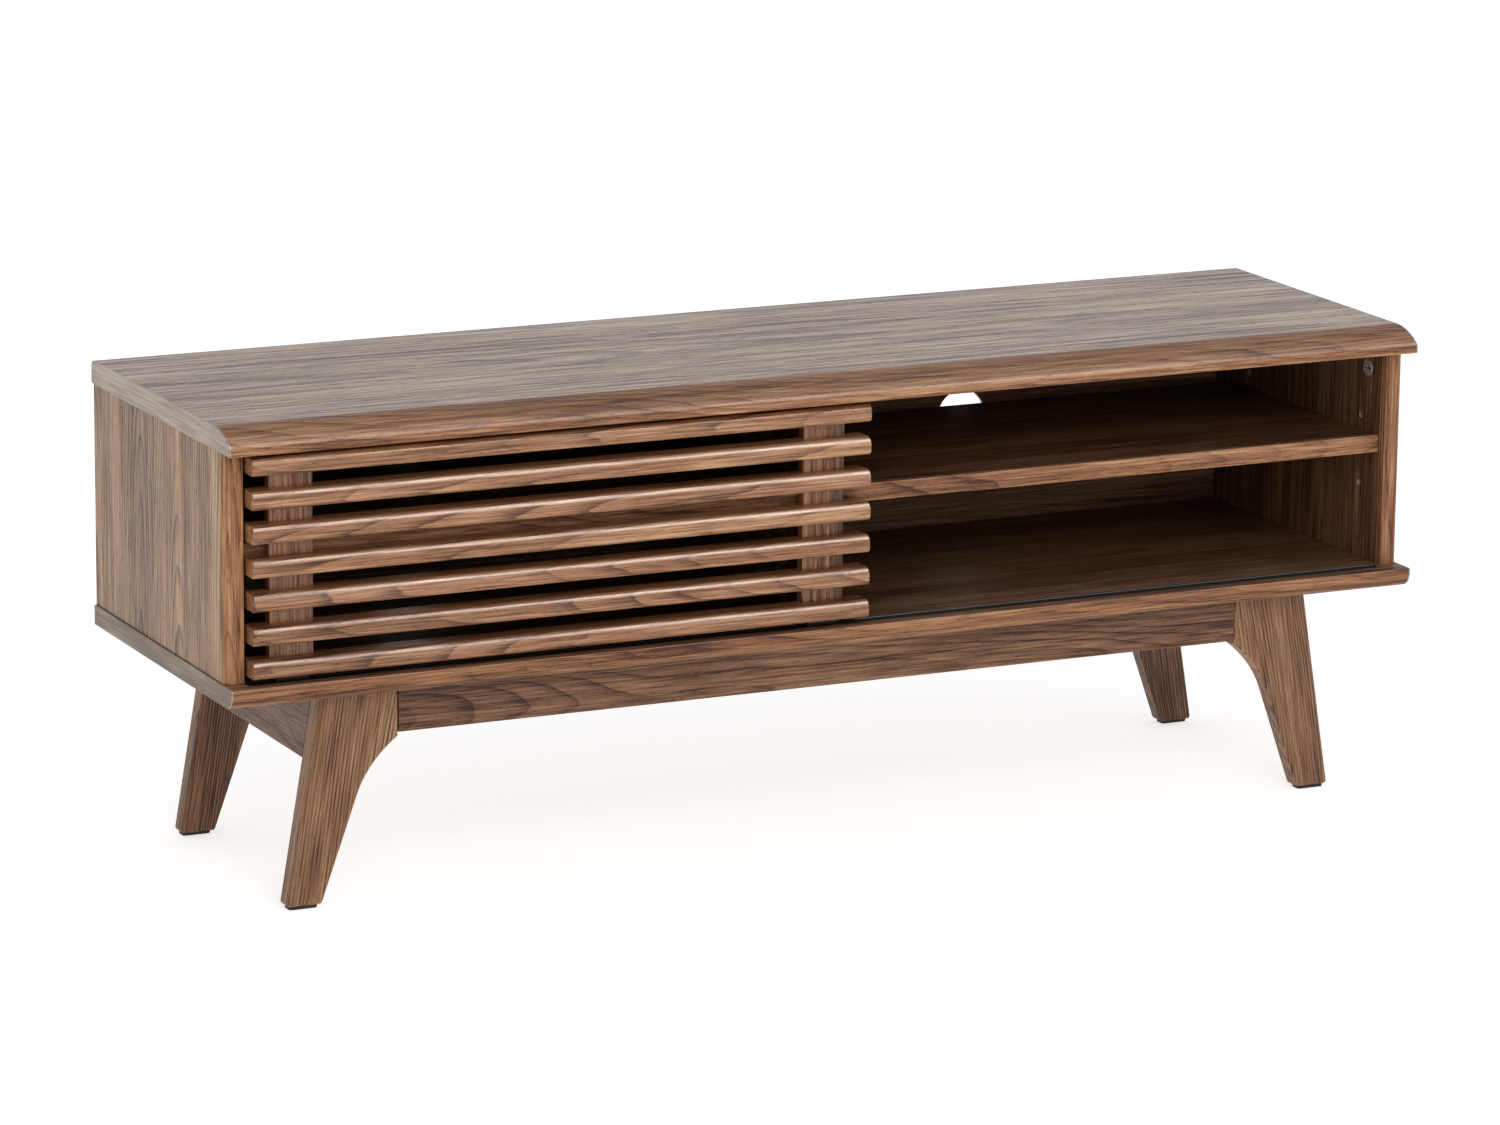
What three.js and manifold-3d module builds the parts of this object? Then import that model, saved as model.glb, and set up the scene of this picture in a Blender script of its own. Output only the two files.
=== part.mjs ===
// A low media cabinet of walnut-veneered board on a base frame with splayed legs.
// A slatted door slides in front of two compartments, each with an adjustable shelf.
// Millimetres. X runs along the width, Y from the front to the back, Z up from the floor.
import * as THREE from "three";
import { mergeVertices } from "three/addons/utils/BufferGeometryUtils.js";
import Module from "manifold-3d";

const wasm = await Module();
wasm.setup();

// ---------------------------------------------------------------- driving dimensions
const width = 1160;
const depth = 340;
const height = 433;

const board = 18; // side panels, divider, bottom panel, aprons and legs
const topThickness = 21;
const baseHeight = 192; // floor to the underside of the bottom panel
const seam = 0.2; // gap between pieces that touch
const slack = 0.3; // room at the bottom of a groove, a bore or a joint
const over = 1; // how far a cutting tool runs past the face it enters

// ---------------------------------------------------------------- derived levels
const endX = width / 2;
const frontY = -depth / 2;
const backY = depth / 2;
const floorOfCase = baseHeight + board;
const roofOfCase = height - topThickness;

// ---------------------------------------------------------------- case
const topSweep = { radius: 62, depth: 35, corner: 3 }; // long arc down to the top's front edge
const topBackRound = 6; // upper back edge of the top
const bottomRound = 14; // lower front edge of the bottom panel
const sideInset = 2; // side panels stand in from the ends of the top
const sideSetback = 21; // and back from its front edge
const sideOuterX = endX - sideInset;
const sideInnerX = sideOuterX - board;
const sideFrontY = frontY + sideSetback;
const sideRound = 7; // outer front corner of a side panel

const back = { thickness: 5, frontY: 163, lap: 5.8 };
const rebate = { depth: 6.2, frontY: back.frontY - slack }; // open to the back, all round the case
const cableHole = { radius: 25, x: (sideInnerX + board / 2) / 2, z: 312.5 };

// ---------------------------------------------------------------- shelves and their pins
const shelf = { thickness: 16, bottom: 315, frontY: -139.5, backY: 131 };
const pin = { radius: 2.5, length: 15, hole: 2.9, holeDepth: 7.8 };
const pinPitch = 32;
const pinZ = shelf.bottom - seam - pin.radius;
const pinRowsY = [-107, 100];
const pinHolesZ = [pinZ - pinPitch, pinZ, pinZ + pinPitch];

// ---------------------------------------------------------------- cam locks in the side panels
const cam = { radius: 7.5, depth: 12, bore: 7.8, inset: 22, y: 116.4 };
const camCross = { width: 2, arm: 4.65, depth: 1.6 }; // recess for a cross-head driver

// ---------------------------------------------------------------- door
const slat = { count: 7, height: 16, depth: 25, pitch: 29.5, topRound: 4, bottomRound: 3 };
const door = { left: -558, right: 25, frontY: -166, top: 408.5 };
const doorBackY = door.frontY + slat.depth;
const stile = { width: 40, thickness: 10, inset: 20 };
const stileFrontY = doorBackY - stile.thickness;
const stileCentres = [
  door.left + stile.inset + stile.width / 2,
  door.right - stile.inset - stile.width / 2,
];
const doorBottom = door.top - (slat.count - 1) * slat.pitch - slat.height;

// ---------------------------------------------------------------- sliding tracks and guides
const track = { y: -148.5, width: 17, depth: 7.5, slot: 9, slotDepth: 6 };
const trackGroove = { width: track.width + 2 * seam, depth: track.depth + slack };
const guide = { length: 30, plate: 12, fin: 6.5, clearance: 1.2, bottomGap: 0.5, topGap: 1.5 };

// ---------------------------------------------------------------- base frame
const leg = { frontY: -137, topOuterX: 486.5, footOuterX: 518, footInnerX: 485.5, lean: 0.345 };
const legCurve = { startZ: 97, pullX: 442.5, pullZ: 124.6, belowApron: 3.5 };
const backLegFrontY = 122;
const glide = { height: 3, inset: 3, depth: 13, corner: 3 };
const apronEndX = 414;
const apronBottom = 149.5;
const sideApron = { bottom: 131, thickness: 15 };
const cornerBlock = { innerX: 376, outerX: 468, depth: 28, bottom: 156 };

// ---------------------------------------------------------------- finishes
function finish(color, roughness, metalness = 0) {
  return new THREE.MeshStandardMaterial({ color, roughness, metalness });
}
const finishes = {
  top: finish(0x7d6653, 0.45),
  walnut: finish(0x83604a, 0.5),
  slats: finish(0x8a5f45, 0.42),
  frame: finish(0x7c5844, 0.5),
  backing: finish(0x5a4133, 0.6),
  track: finish(0x1d1b1a, 0.5),
  zinc: finish(0xb9bbbd, 0.3, 1),
  glide: finish(0x26221f, 0.9),
};

// ---------------------------------------------------------------- geometry helpers
// Turns an extrusion's own axes (u, v, extrusion) into the cabinet's X, Y and Z.
const alongX = new THREE.Matrix4().makeBasis(
  new THREE.Vector3(0, 1, 0),
  new THREE.Vector3(0, 0, 1),
  new THREE.Vector3(1, 0, 0),
);
const alongY = new THREE.Matrix4().makeBasis(
  new THREE.Vector3(1, 0, 0),
  new THREE.Vector3(0, 0, 1),
  new THREE.Vector3(0, -1, 0),
);

function extrude(shape, length, curveSegments) {
  return new THREE.ExtrudeGeometry(shape, { depth: length, bevelEnabled: false, curveSegments });
}

// A (Y, Z) section run along X.
function barX(section, x0, x1, segments = 10) {
  return extrude(section, x1 - x0, segments).applyMatrix4(alongX).translate(x0, 0, 0);
}

// An (X, Z) outline run along Y.
function barY(outline, y0, y1, segments = 12) {
  return extrude(outline, y1 - y0, segments).applyMatrix4(alongY).translate(0, y1, 0);
}

// An (X, Y) plan run up Z.
function barZ(plan, z0, z1, segments = 8) {
  return extrude(plan, z1 - z0, segments).translate(0, 0, z0);
}

function box(x0, x1, y0, y1, z0, z1) {
  return new THREE.BoxGeometry(x1 - x0, y1 - y0, z1 - z0).translate(
    (x0 + x1) / 2,
    (y0 + y1) / 2,
    (z0 + z1) / 2,
  );
}

function cylinderAlongX(x0, x1, y, z, radius, sides = 20) {
  return new THREE.CylinderGeometry(radius, radius, x1 - x0, sides)
    .rotateZ(Math.PI / 2)
    .translate((x0 + x1) / 2, y, z);
}

function cylinderAlongY(y0, y1, x, z, radius, sides = 32) {
  return new THREE.CylinderGeometry(radius, radius, y1 - y0, sides).translate(x, (y0 + y1) / 2, z);
}

function polygon(points) {
  return new THREE.Shape(points.map(([u, v]) => new THREE.Vector2(u, v)));
}

function solid(geometry) {
  const bare = geometry.index ? geometry.toNonIndexed() : geometry.clone();
  bare.deleteAttribute("normal");
  bare.deleteAttribute("uv");
  const merged = mergeVertices(bare, 1e-4);
  return new wasm.Manifold(
    new wasm.Mesh({
      numProp: 3,
      vertProperties: new Float32Array(merged.attributes.position.array),
      triVerts: new Uint32Array(merged.index.array),
    }),
  );
}

// The base geometry with every tool taken out of it.
function cut(base, tools) {
  const rest = tools.reduce((left, tool) => left.subtract(solid(tool)), solid(base));
  const mesh = rest.getMesh();
  const geometry = new THREE.BufferGeometry();
  geometry.setAttribute("position", new THREE.BufferAttribute(mesh.vertProperties, 3));
  geometry.setIndex(new THREE.BufferAttribute(mesh.triVerts, 1));
  geometry.computeVertexNormals();
  return geometry;
}

const cabinet = new THREE.Group();

function piece(name, geometry, material) {
  const mesh = new THREE.Mesh(geometry, material);
  mesh.name = name;
  cabinet.add(mesh);
}

const sides = [
  { name: "left", sign: -1 },
  { name: "right", sign: 1 },
];

// Lowest and highest of two values on one side of the cabinet's middle plane.
function span(sign, near, far) {
  return sign > 0 ? [near, far] : [-far, -near];
}

// ---------------------------------------------------------------- top and bottom panels
function trackSpan(margin) {
  return [-sideInnerX + margin, sideInnerX - margin];
}

function trackCut(z0, z1) {
  const half = trackGroove.width / 2;
  return box(...trackSpan(seam), track.y - half, track.y + half, z0, z1);
}

function rebateCut(z0, z1) {
  const reach = sideInnerX + rebate.depth;
  return box(-reach, reach, rebate.frontY, backY + over, z0, z1);
}

// The top's section: a long arc falls towards the front and turns into a narrow upright edge.
function topPanel() {
  const arcEnd = Math.asin(topSweep.depth / topSweep.radius);
  const arcCentreY = frontY + topSweep.corner + topSweep.depth;
  const arcCentreZ = height - topSweep.radius;
  const cornerZ =
    arcCentreZ + topSweep.radius * Math.cos(arcEnd) - topSweep.corner * Math.tan(arcEnd);
  const r = topBackRound;
  const section = new THREE.Shape();
  section.moveTo(frontY, roofOfCase);
  section.lineTo(backY, roofOfCase);
  section.absarc(backY - r, height - r, r, 0, Math.PI / 2, false);
  section.absarc(
    arcCentreY,
    arcCentreZ,
    topSweep.radius,
    Math.PI / 2,
    Math.PI / 2 + arcEnd,
    false,
  );
  section.quadraticCurveTo(frontY, cornerZ, frontY, cornerZ - topSweep.corner);
  return cut(barX(section, -endX, endX, 8), [
    trackCut(roofOfCase - over, roofOfCase + trackGroove.depth),
    rebateCut(roofOfCase - over, roofOfCase + rebate.depth),
  ]);
}

function bottomPanel() {
  const section = new THREE.Shape();
  section.moveTo(backY, baseHeight);
  section.lineTo(backY, floorOfCase);
  section.lineTo(frontY, floorOfCase);
  section.lineTo(frontY, baseHeight + bottomRound);
  section.absarc(
    frontY + bottomRound,
    baseHeight + bottomRound,
    bottomRound,
    Math.PI,
    1.5 * Math.PI,
    false,
  );
  return cut(barX(section, -endX, endX, 10), [
    trackCut(floorOfCase - trackGroove.depth, floorOfCase + over),
    rebateCut(floorOfCase - rebate.depth, floorOfCase + over),
  ]);
}

piece("top_panel", topPanel(), finishes.top);
piece("bottom_panel", bottomPanel(), finishes.walnut);

// ---------------------------------------------------------------- side panels and divider
function pinHoles(x0, x1) {
  return pinRowsY.flatMap((y) =>
    pinHolesZ.map((z) => cylinderAlongX(x0, x1, y, z, pin.hole, 16)),
  );
}

// The cams hold the top panel only: the bottom panel is joined by hidden fixings.
const camPlaces = [
  { name: "front", y: -cam.y, z: roofOfCase - cam.inset },
  { name: "back", y: cam.y, z: roofOfCase - cam.inset },
];

function sidePanel(sign) {
  const plan = new THREE.Shape();
  plan.moveTo(sideInnerX, sideFrontY);
  plan.lineTo(sideOuterX - sideRound, sideFrontY);
  plan.absarc(
    sideOuterX - sideRound,
    sideFrontY + sideRound,
    sideRound,
    -Math.PI / 2,
    0,
    false,
  );
  plan.lineTo(sideOuterX, backY);
  plan.lineTo(sideInnerX, backY);
  const outline = polygon(plan.getPoints(8).map((p) => [sign * p.x, p.y]));
  const [rebateX0, rebateX1] = span(sign, sideInnerX - over, sideInnerX + rebate.depth);
  const [camX0, camX1] = span(sign, sideInnerX - over, sideInnerX + cam.depth + slack);
  return cut(barZ(outline, floorOfCase + seam, roofOfCase - seam), [
    box(rebateX0, rebateX1, rebate.frontY, backY + over, floorOfCase, roofOfCase),
    ...pinHoles(...span(sign, sideInnerX - over, sideInnerX + pin.holeDepth)),
    ...camPlaces.map(({ y, z }) => cylinderAlongX(camX0, camX1, y, z, cam.bore, 24)),
  ]);
}

for (const { name, sign } of sides) piece(name + "_side_panel", sidePanel(sign), finishes.walnut);

const dividerX = board / 2;

function centreDivider() {
  const slab = box(
    -dividerX,
    dividerX,
    shelf.frontY,
    back.frontY - seam,
    floorOfCase + seam,
    roofOfCase - seam,
  );
  return cut(slab, [
    ...pinHoles(-dividerX - over, -dividerX + pin.holeDepth),
    ...pinHoles(dividerX - pin.holeDepth, dividerX + over),
  ]);
}

piece("centre_divider", centreDivider(), finishes.walnut);

// ---------------------------------------------------------------- back panel
function backPanel() {
  const slab = box(
    -sideInnerX - back.lap,
    sideInnerX + back.lap,
    back.frontY,
    back.frontY + back.thickness,
    floorOfCase - back.lap,
    roofOfCase + back.lap,
  );
  const holes = sides.map(({ sign }) =>
    cylinderAlongY(
      back.frontY - over,
      back.frontY + back.thickness + over,
      sign * cableHole.x,
      cableHole.z,
      cableHole.radius,
    ),
  );
  return cut(slab, holes);
}

piece("back_panel", backPanel(), finishes.backing);

// ---------------------------------------------------------------- shelves on their pins
function shelfBoard(sign) {
  const [x0, x1] = span(sign, dividerX + 2 * seam, sideInnerX - 2 * seam);
  return box(x0, x1, shelf.frontY, shelf.backY, shelf.bottom, shelf.bottom + shelf.thickness);
}

function shelfPin(wallX, direction, y) {
  const inWall = wallX - direction * (pin.holeDepth - 2 * seam);
  const tip = inWall + direction * pin.length;
  return cylinderAlongX(Math.min(inWall, tip), Math.max(inWall, tip), y, pinZ, pin.radius, 16);
}

const pinRowNames = ["front", "back"];

for (const { name, sign } of sides) {
  piece(name + "_shelf", shelfBoard(sign), finishes.walnut);
  pinRowsY.forEach((y, row) => {
    const outer = shelfPin(sign * sideInnerX, -sign, y);
    const inner = shelfPin(sign * dividerX, sign, y);
    piece(`${name}_shelf_pin_outer_${pinRowNames[row]}`, outer, finishes.zinc);
    piece(`${name}_shelf_pin_inner_${pinRowNames[row]}`, inner, finishes.zinc);
  });
}

// ---------------------------------------------------------------- cam locks
function camLock(sign, y, z) {
  const [x0, x1] = span(sign, sideInnerX, sideInnerX + cam.depth);
  const [slotX0, slotX1] = span(sign, sideInnerX - over, sideInnerX + camCross.depth);
  const arm = camCross.arm;
  const half = camCross.width / 2;
  return cut(cylinderAlongX(x0, x1, y, z, cam.radius, 24), [
    box(slotX0, slotX1, y - arm, y + arm, z - half, z + half),
    box(slotX0, slotX1, y - half, y + half, z - arm, z + arm),
  ]);
}

for (const { name, sign } of sides)
  for (const place of camPlaces)
    piece(`${name}_cam_lock_${place.name}`, camLock(sign, place.y, place.z), finishes.zinc);

// ---------------------------------------------------------------- sliding tracks
// A channel whose slot opens towards +Z when up is 1, and towards -Z when up is -1.
function trackChannel(mouthZ, up) {
  const rim = track.width / 2;
  const slot = track.slot / 2;
  const section = polygon(
    [
      [-rim, 0],
      [-slot, 0],
      [-slot, -track.slotDepth],
      [slot, -track.slotDepth],
      [slot, 0],
      [rim, 0],
      [rim, -track.depth],
      [-rim, -track.depth],
    ].map(([y, z]) => [track.y + y, mouthZ + up * z]),
  );
  return barX(section, ...trackSpan(seam + slack));
}

piece("bottom_track", trackChannel(floorOfCase, 1), finishes.track);
piece("top_track", trackChannel(roofOfCase, -1), finishes.track);

// ---------------------------------------------------------------- base frame: legs and glides
// The inner edge runs straight up from the foot, then sweeps in to meet the apron's end.
function legOutline(sign) {
  const footZ = glide.height + seam;
  const topZ = baseHeight - seam;
  const startX = leg.footInnerX - leg.lean * legCurve.startZ;
  const endZ = apronBottom - legCurve.belowApron;
  const outline = new THREE.Shape();
  outline.moveTo(leg.footInnerX, footZ);
  outline.lineTo(startX, legCurve.startZ);
  outline.quadraticCurveTo(legCurve.pullX, legCurve.pullZ, apronEndX, endZ);
  outline.lineTo(apronEndX, topZ);
  outline.lineTo(leg.topOuterX, topZ);
  outline.lineTo(leg.footOuterX, footZ);
  return polygon(outline.getPoints(10).map((p) => [sign * p.x, p.y]));
}

function glidePlan(sign, y0) {
  const x0 = leg.footInnerX + glide.inset;
  const x1 = leg.footOuterX - glide.inset;
  const y1 = y0 + glide.depth;
  const r = glide.corner;
  const plan = new THREE.Shape();
  plan.absarc(x1 - r, y1 - r, r, 0, Math.PI / 2, false);
  plan.absarc(x0 + r, y1 - r, r, Math.PI / 2, Math.PI, false);
  plan.absarc(x0 + r, y0 + r, r, Math.PI, 1.5 * Math.PI, false);
  plan.absarc(x1 - r, y0 + r, r, 1.5 * Math.PI, 2 * Math.PI, false);
  return polygon(plan.getPoints(4).map((p) => [sign * p.x, p.y]));
}

const legRows = [
  { name: "front", y: leg.frontY },
  { name: "back", y: backLegFrontY },
];

for (const { name: row, y } of legRows) {
  for (const { name, sign } of sides) {
    piece(`${row}_${name}_leg`, barY(legOutline(sign), y, y + board), finishes.frame);
    const glideY = y + (board - glide.depth) / 2;
    piece(`${row}_${name}_glide`, barZ(glidePlan(sign, glideY), 0, glide.height), finishes.glide);
  }
  const reach = apronEndX - slack;
  const apron = box(-reach, reach, y, y + board, apronBottom, baseHeight - seam);
  piece(row + "_apron", apron, finishes.frame);
}

// ---------------------------------------------------------------- side aprons and corner blocks
// A side apron leans with the outer edges of the two legs that it joins.
function sideApronOutline(sign) {
  const topZ = baseHeight - seam;
  const slope = (leg.footOuterX - leg.topOuterX) / (topZ - glide.height - seam);
  const lean = Math.atan(slope);
  const lowX = leg.topOuterX + slope * (topZ - sideApron.bottom);
  return polygon(
    [
      [leg.topOuterX, topZ],
      [lowX, sideApron.bottom],
      [
        lowX - sideApron.thickness * Math.cos(lean),
        sideApron.bottom - sideApron.thickness * Math.sin(lean),
      ],
      [leg.topOuterX - sideApron.thickness / Math.cos(lean), topZ],
    ].map(([x, z]) => [sign * x, z]),
  );
}

for (const { name, sign } of sides) {
  const behindFrontLeg = leg.frontY + board + slack;
  const beforeBackLeg = backLegFrontY - slack;
  const apron = barY(sideApronOutline(sign), behindFrontLeg, beforeBackLeg);
  piece(name + "_apron", apron, finishes.frame);
  const [x0, x1] = span(sign, cornerBlock.innerX, cornerBlock.outerX);
  const blockTop = baseHeight - seam;
  piece(
    `front_${name}_corner_block`,
    box(x0, x1, behindFrontLeg, behindFrontLeg + cornerBlock.depth, cornerBlock.bottom, blockTop),
    finishes.frame,
  );
  piece(
    `back_${name}_corner_block`,
    box(x0, x1, beforeBackLeg - cornerBlock.depth, beforeBackLeg, cornerBlock.bottom, blockTop),
    finishes.frame,
  );
}

// ---------------------------------------------------------------- sliding door
// A slat's section is flat with eased front edges. Its back is half-lapped over both stiles.
function slatBar(bottomZ) {
  const y0 = door.frontY;
  const y1 = doorBackY;
  const z1 = bottomZ + slat.height;
  const rTop = slat.topRound;
  const rLow = slat.bottomRound;
  const section = new THREE.Shape();
  section.moveTo(y1, bottomZ);
  section.lineTo(y1, z1);
  section.absarc(y0 + rTop, z1 - rTop, rTop, Math.PI / 2, Math.PI, false);
  section.absarc(y0 + rLow, bottomZ + rLow, rLow, Math.PI, 1.5 * Math.PI, false);
  const laps = stileCentres.map((x) => {
    const half = stile.width / 2 + seam;
    return box(x - half, x + half, stileFrontY - seam, y1 + over, bottomZ - over, z1 + over);
  });
  return cut(barX(section, door.left, door.right, 5), laps);
}

for (let i = 0; i < slat.count; i++) {
  const bottomZ = door.top - slat.height - i * slat.pitch;
  piece(`door_slat_${i + 1}`, slatBar(bottomZ), finishes.slats);
}

// A guide's section: a plate under (or over) the stile, and a fin that runs in the track's slot.
function doorGuide(x, plateZ0, plateZ1, finTipZ) {
  const towardTip = finTipZ > plateZ1 ? plateZ1 : plateZ0;
  const farSide = finTipZ > plateZ1 ? plateZ0 : plateZ1;
  const section = polygon([
    [track.y - guide.plate / 2, farSide],
    [track.y + guide.plate / 2, farSide],
    [track.y + guide.plate / 2, towardTip],
    [track.y + guide.fin / 2, towardTip],
    [track.y + guide.fin / 2, finTipZ],
    [track.y - guide.fin / 2, finTipZ],
    [track.y - guide.fin / 2, towardTip],
    [track.y - guide.plate / 2, towardTip],
  ]);
  return barX(section, x - guide.length / 2, x + guide.length / 2);
}

stileCentres.forEach((x, i) => {
  const name = sides[i].name;
  const half = stile.width / 2;
  const post = box(x - half, x + half, stileFrontY, doorBackY, doorBottom, door.top);
  piece(`door_${name}_stile`, post, finishes.slats);
  const slotFloor = floorOfCase - track.slotDepth;
  const lowPlateZ = floorOfCase + guide.clearance;
  const lowGuide = doorGuide(x, lowPlateZ, doorBottom - seam, slotFloor + guide.bottomGap);
  piece(`door_${name}_bottom_guide`, lowGuide, finishes.track);
  const slotRoof = roofOfCase + track.slotDepth;
  const topPlateZ = roofOfCase - guide.clearance;
  const topGuide = doorGuide(x, door.top + seam, topPlateZ, slotRoof - guide.topGap);
  piece(`door_${name}_top_guide`, topGuide, finishes.track);
});

export default cabinet;
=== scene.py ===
# %% [markdown]
# # A walnut media cabinet with a sliding slatted door
#
# The CAD model says where every board, pin and leg goes. This lesson gives those parts the look of
# the real furniture: eased edges, solid lippings, veneer, lacquer, raw board inside the machined
# grooves, and the small fittings. It starts by loading the CAD model as a fixed frame. All numbers
# are metres: X runs along the cabinet, Y from its front to its back, and Z up from the floor.

# %% The fixed frame
import math

import bpy
import numpy as np
from mathutils import Matrix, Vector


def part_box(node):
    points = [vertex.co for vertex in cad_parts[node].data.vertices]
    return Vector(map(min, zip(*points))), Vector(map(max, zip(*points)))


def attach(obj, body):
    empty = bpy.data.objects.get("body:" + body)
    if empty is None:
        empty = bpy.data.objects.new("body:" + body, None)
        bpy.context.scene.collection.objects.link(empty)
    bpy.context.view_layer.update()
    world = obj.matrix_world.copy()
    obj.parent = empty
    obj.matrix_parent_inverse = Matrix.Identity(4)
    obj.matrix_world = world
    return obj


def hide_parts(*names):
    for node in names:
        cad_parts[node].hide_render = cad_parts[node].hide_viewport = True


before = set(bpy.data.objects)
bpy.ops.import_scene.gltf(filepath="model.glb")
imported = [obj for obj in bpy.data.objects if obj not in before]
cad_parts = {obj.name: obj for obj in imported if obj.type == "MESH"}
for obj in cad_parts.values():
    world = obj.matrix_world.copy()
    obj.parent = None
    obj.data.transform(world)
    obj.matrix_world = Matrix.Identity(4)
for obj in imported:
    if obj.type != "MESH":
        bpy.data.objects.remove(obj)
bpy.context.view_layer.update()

# %% [markdown]
# ## Where things are
#
# Each piece takes its place from the CAD node that it stands for, so nothing is fitted by eye. A
# node's box is its lowest and its highest corner.

# %% Boxes of the nodes
MM = 0.001


def box_of(node):
    """The lowest and the highest corner of a CAD node, as two arrays."""
    low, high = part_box(node)
    return np.array(low), np.array(high)


top_low, top_high = box_of("top_panel")
base_low, base_high = box_of("bottom_panel")
side_low, side_high = box_of("right_side_panel")
track_low, track_high = box_of("bottom_track")
back_low, back_high = box_of("back_panel")
print("cabinet:", np.round(top_high - [top_low[0], top_low[1], 0], 3))

# %% [markdown]
# ## A bar with eased edges
#
# Nearly everything here is a length of timber: one outline carried along a line. A saw leaves sharp
# edges and a maker takes them off with a few strokes, and that narrow round is what catches the
# light. So the outline's corners become arcs, and at both ends the outline shrinks along a quarter
# circle before a flat face closes it. The whole skin is one grid: one parameter runs round the
# outline, the other along the bar.

# %% Outlines with rounded corners
AXIS = {"X": 0, "Y": 1, "Z": 2}


def rounded(corners, radii, steps=5):
    """A closed outline whose corners are arcs.

    With unit vectors a and b from a corner to its neighbours and half the angle between them h, the
    arc starts r / tan(h) along a, ends as far along b, and its centre lies r / sin(h) from the
    corner along a + b. The arc's points turn evenly from the one end to the other.
    """
    corner = np.asarray(corners, float)
    radius = np.broadcast_to(np.asarray(radii, float), len(corner))[:, None]
    before, after = np.roll(corner, 1, 0) - corner, np.roll(corner, -1, 0) - corner
    a = before / np.linalg.norm(before, axis=1, keepdims=True)
    b = after / np.linalg.norm(after, axis=1, keepdims=True)
    half = np.arccos(np.clip((a * b).sum(1, keepdims=True), -1, 1)) / 2
    middle = (a + b) / np.maximum(np.linalg.norm(a + b, axis=1, keepdims=True), 1e-9)
    centre = corner + middle * radius / np.sin(half)
    start = corner + a * radius / np.tan(half) - centre
    end = corner + b * radius / np.tan(half) - centre
    turn = np.maximum(math.pi - 2 * half, 1e-6)[:, None, :]
    t = np.linspace(0, 1, steps + 1)[None, :, None]
    arc = (np.sin((1 - t) * turn) * start[:, None] + np.sin(t * turn) * end[:, None]) / np.sin(turn)
    points = (centre[:, None] + arc).reshape(-1, 2)
    gap = np.linalg.norm(points - np.roll(points, 1, 0), axis=1)
    return points[gap > 1e-7]


def rectangle(x0, x1, y0, y1, radius):
    """A closed rectangle with four equal rounded corners."""
    return rounded([(x0, y0), (x1, y0), (x1, y1), (x0, y1)], radius)


print("points round a rectangle with rounded corners:", len(rectangle(0, 1, 0, 1, 0.1)))

# %% [markdown]
# ## From an outline to a solid bar
#
# The rings become vertices and the spaces between them four-sided faces. One long face closes each
# end. The mesh keeps its place in its own vertices, so the object itself stays at the origin.

# %% Rings, skins and bars
def make_mesh(name, points, faces, material):
    """A new smooth-shaded mesh object at the origin, with its place in its vertices."""
    mesh = bpy.data.meshes.new(name)
    mesh.from_pydata(np.asarray(points).tolist(), [], faces)
    mesh.update()
    mesh.shade_smooth()
    piece = bpy.data.objects.new(name, mesh)
    bpy.context.scene.collection.objects.link(piece)
    mesh.materials.append(material)
    return piece


def skin(rings, count, flip=False):
    """Quads between rings of count points each, and one flat face over each end."""
    i = np.arange(count)
    ring = np.arange(rings - 1)[:, None] * count
    j = (i + 1) % count
    quads = np.stack([ring + i, ring + j, ring + j + count, ring + i + count], -1).reshape(-1, 4)
    first, last = i[::-1], i + (rings - 1) * count
    faces = quads.tolist() + [first.tolist(), last.tolist()]
    return [face[::-1] for face in faces] if flip else faces


def bar(name, outline, axis, low, high, material, ease=0.6 * MM, steps=3, keep=None):
    """A closed bar: the outline carried along an axis from low to high.

    The outline is given in the other two axes, in order. At each end, ring k stands at the angle
    q = 0..90 degrees: it is inset by ease * (1 - sin q) and lies ease * (1 - cos q) from the end.
    Insetting moves each point along the mitre of its two sides, which is twice their normals' sum
    over that sum's squared length. With keep, a function that says which of the outline's points
    stay, the rings are sawn off between the first and the last of them after the inset.
    """
    outline = np.asarray(outline, float)
    x, y = outline.T
    if np.sum(x * np.roll(y, -1) - np.roll(x, -1) * y) < 0:
        outline = outline[::-1]
    side = np.roll(outline, -1, 0) - outline
    side /= np.linalg.norm(side, axis=1, keepdims=True)
    normal = np.stack([side[:, 1], -side[:, 0]], 1)
    both = normal + np.roll(normal, 1, 0)
    mitre = 2 * both / (both**2).sum(1, keepdims=True)
    q = np.linspace(0, math.pi / 2, steps + 1)
    ease_low, ease_high = np.broadcast_to(ease, 2)
    inset = np.concatenate([ease_low * (1 - np.sin(q)), (ease_high * (1 - np.sin(q)))[::-1]])
    depth = 1 - np.cos(q)
    level = np.concatenate([low + ease_low * depth, (high - ease_high * depth)[::-1]])
    points = np.empty((len(level), len(outline), 3))
    across = [k for k in range(3) if k != AXIS[axis]]
    points[..., across] = outline - mitre * inset[:, None, None]
    points[..., AXIS[axis]] = level[:, None]
    if keep is not None:
        points = points[:, keep(outline)]
    faces = skin(points.shape[0], points.shape[1], flip=axis == "Y")
    return make_mesh(name, points.reshape(-1, 3), faces, material)


def plank(name, node, axis, material, radius, ease):
    """A bar that fills a node's box along an axis, with its long edges rounded."""
    low, high = box_of(node)
    a, b = [k for k in range(3) if k != AXIS[axis]]
    outline = rectangle(low[a], high[a], low[b], high[b], radius)
    return bar(name, outline, axis, low[AXIS[axis]], high[AXIS[axis]], material, ease=ease)


# %% [markdown]
# ## Turned pieces
#
# Screws, pins, cams and the drills that make their holes are round. A lathe profile gives a radius
# at each place along the axis, and it is carried round in a circle.

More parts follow.
